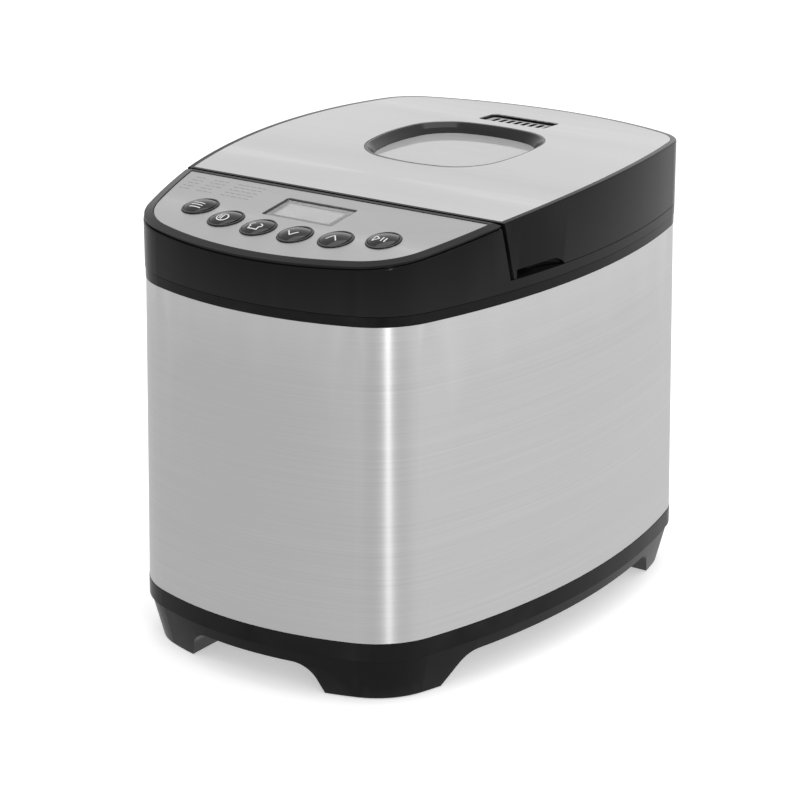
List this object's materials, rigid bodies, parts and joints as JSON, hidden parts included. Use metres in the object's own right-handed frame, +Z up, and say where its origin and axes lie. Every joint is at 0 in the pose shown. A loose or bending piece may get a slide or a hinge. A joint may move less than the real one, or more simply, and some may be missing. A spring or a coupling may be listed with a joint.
{
  "type": "bread machine",
  "caption": "Countertop bread maker: brushed steel body on a footed black base, sloped button panel, hinged lid with window and vent, lift-out kneading pan.",
  "frame": {"origin": "on the standing surface, below the middle of the body's bounding box", "axes": "+X to the machine's left-hand side as seen from behind it (right as seen from the control panel), -Y the front with the control panel, +Y the hinge side, +Z up"},
  "size_m": [0.2656, 0.3666, 0.2972],
  "materials": {
    "body_steel": "satin, fine brushed grain",
    "housing_plastic": "semi-gloss moulded",
    "base_plastic": "satin moulded",
    "bezel_plastic": "semi-gloss moulded",
    "button_plastic": "high gloss",
    "pad_rubber": "matte",
    "plated_steel": "zinc plated",
    "handle_wire": "polished",
    "pan_coating": "non-stick coating, satin",
    "chamber_metal": "aluminised sheet",
    "clear_glass": "polished",
    "display_cover": "clear acrylic",
    "display_cell": "smooth",
    "board": "solder mask",
    "silicone": "matte",
    "bronze": "sintered",
    "inner_plastic": "fine texture",
    "white_plastic": "moulded",
    "belt_rubber": "matte",
    "motor_metal": "varnished laminations",
    "cast_metal": "die cast",
    "silver_plastic": "metallic satin",
    "element_sheath": "heat darkened"
  },
  "bodies": {
    "root": {"base_shell": "base_plastic", "foot_pads": "pad_rubber", "base_screws": "plated_steel", "cord_gland": "base_plastic", "steel_wrap": "body_steel", "trim_ring": "housing_plastic", "top_frame": "housing_plastic", "panel_bezel": "bezel_plastic", "control_fascia": "body_steel", "panel_carrier": "button_plastic", "display_lens": "display_cover", "lcd_module": "display_cell", "control_board": "board", "button_switches": "white_plastic", "hinge_pins": "plated_steel", "chamber_shell": "chamber_metal", "heating_element": "element_sheath", "element_clips": "plated_steel", "temperature_sensor": "plated_steel", "heat_shield": "plated_steel", "pan_socket": "plated_steel", "power_board": "board", "chassis_plate": "plated_steel", "spindle_housing": "cast_metal", "spindle_bushes": "bronze", "drive_belt": "belt_rubber", "motor_stator": "motor_metal", "motor_brackets": "cast_metal", "motor_bearings": "bronze"},
    "lid": {"lid_shell": "housing_plastic", "lid_skin": "body_steel", "window_bezel": "button_plastic", "window_glass": "clear_glass", "vent_grille": "silver_plastic", "lid_inner": "inner_plastic", "lid_liner": "chamber_metal", "inner_glass": "clear_glass", "lid_seal": "silicone", "lid_screws": "plated_steel"},
    "pan": {"bread_pan": "pan_coating", "pan_collar": "cast_metal", "pan_bearing": "bronze", "pan_seal": "silicone", "handle_pivots": "plated_steel"},
    "handle": {"pan_handle": "handle_wire"},
    "paddle": {"pan_shaft": "plated_steel", "pan_coupling": "cast_metal", "kneading_paddle": "pan_coating"},
    "spindle": {"drive_spindle": "plated_steel", "drive_coupling": "cast_metal", "large_pulley": "white_plastic"},
    "rotor": {"small_pulley": "white_plastic", "motor_shaft": "plated_steel", "rotor_core": "motor_metal"},
    "button_1": {"button_1": "button_plastic"},
    "button_2": {"button_2": "button_plastic"},
    "button_3": {"button_3": "button_plastic"},
    "button_4": {"button_4": "button_plastic"},
    "button_5": {"button_5": "button_plastic"},
    "button_6": {"button_6": "button_plastic"}
  },
  "joints": [
    {"name": "lid_hinge", "type": "hinge", "parent": "root", "child": "lid", "pos_m": [0, 0.174, 0.26], "axis": [-1, 0, 0], "range_deg": [0, 90]},
    {"name": "pan_lift", "type": "slide", "parent": "root", "child": "pan", "axis": [0, 0, 1], "range_m": [0, 0.012]},
    {"name": "handle_swing", "type": "hinge", "parent": "pan", "child": "handle", "pos_m": [0, 0.049, 0.203], "axis": [1, 0, 0], "range_deg": [0, 20]},
    {"name": "paddle_spin", "type": "hinge", "parent": "pan", "child": "paddle", "pos_m": [0, 0.049, 0.1], "axis": [0, 0, 1], "continuous": true},
    {"name": "spindle_spin", "type": "hinge", "parent": "root", "child": "spindle", "pos_m": [0, 0.049, 0.05], "axis": [0, 0, 1], "continuous": true},
    {"name": "rotor_spin", "type": "hinge", "parent": "root", "child": "rotor", "pos_m": [0, -0.105, 0.06], "axis": [0, 0, 1], "continuous": true},
    {"name": "button_1_press", "type": "slide", "parent": "root", "child": "button_1", "axis": [0, 0.1387, -0.9903], "range_m": [0, 0.0015], "stiffness_N_per_m": 400, "springref_m": -0.0008},
    {"name": "button_2_press", "type": "slide", "parent": "root", "child": "button_2", "axis": [0, 0.1387, -0.9903], "range_m": [0, 0.0015], "stiffness_N_per_m": 400, "springref_m": -0.0008},
    {"name": "button_3_press", "type": "slide", "parent": "root", "child": "button_3", "axis": [0, 0.1387, -0.9903], "range_m": [0, 0.0015], "stiffness_N_per_m": 400, "springref_m": -0.0008},
    {"name": "button_4_press", "type": "slide", "parent": "root", "child": "button_4", "axis": [0, 0.1387, -0.9903], "range_m": [0, 0.0015], "stiffness_N_per_m": 400, "springref_m": -0.0008},
    {"name": "button_5_press", "type": "slide", "parent": "root", "child": "button_5", "axis": [0, 0.1387, -0.9903], "range_m": [0, 0.0015], "stiffness_N_per_m": 400, "springref_m": -0.0008},
    {"name": "button_6_press", "type": "slide", "parent": "root", "child": "button_6", "axis": [0, 0.1387, -0.9903], "range_m": [0, 0.0015], "stiffness_N_per_m": 400, "springref_m": -0.0008}
  ],
  "couplings": [
    {"joint": "rotor_spin", "follows": "spindle_spin", "ratio": 6},
    {"joint": "paddle_spin", "follows": "spindle_spin", "ratio": 1}
  ]
}
